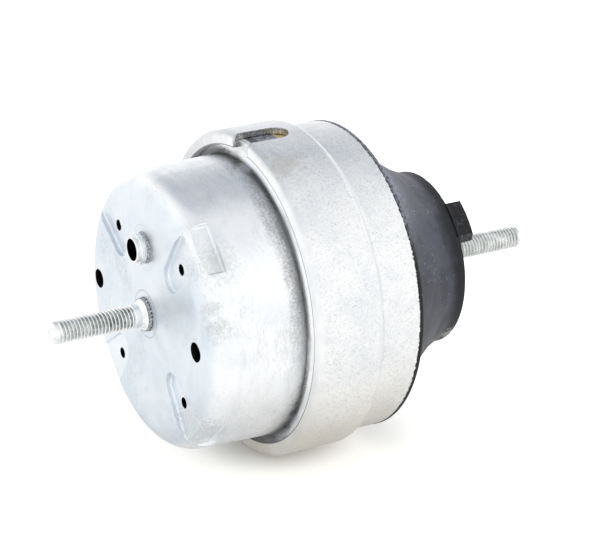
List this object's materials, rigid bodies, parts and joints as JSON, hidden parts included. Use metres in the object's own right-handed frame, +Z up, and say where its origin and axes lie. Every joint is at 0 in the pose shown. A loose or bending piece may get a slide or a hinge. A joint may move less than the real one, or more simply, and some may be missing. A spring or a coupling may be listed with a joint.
{
  "type": "engine mount",
  "caption": "Hydraulic rubber-metal engine mount: drawn steel can, crimped outer ring, bonded rubber cone, and a threaded stud at each end.",
  "frame": {"origin": "centre of the lower can's flat seat, on the mount's axis", "axes": "+X along the mount's axis from the lower can to the upper stud, +Z up through the locating sleeve, as the mount lies on its ring"},
  "size_m": [0.1813, 0.1112, 0.1112],
  "materials": {
    "can_zinc": "bright zinc plate over drawn steel sheet",
    "stud_zinc": "bright zinc plate",
    "housing_steel": "satin, fine grain",
    "yellow_zinc": "yellow passivated zinc",
    "plain_steel": "plain pressed steel",
    "cast_aluminium": "as cast",
    "inner_rubber": "smooth moulded rubber",
    "boot_rubber": "moulded rubber with a soft sheen"
  },
  "bodies": {
    "root": {"lower_can": "can_zinc", "lower_stud": "stud_zinc", "locating_sleeve": "stud_zinc", "outer_housing": "housing_steel", "insert_ring": "yellow_zinc", "diaphragm": "inner_rubber", "diaphragm_ring": "plain_steel", "lower_track_plate": "cast_aluminium", "upper_track_plate": "cast_aluminium", "decoupler": "inner_rubber", "main_rubber": "boot_rubber", "upper_core": "cast_aluminium", "upper_stud": "stud_zinc"}
  },
  "joints": []
}
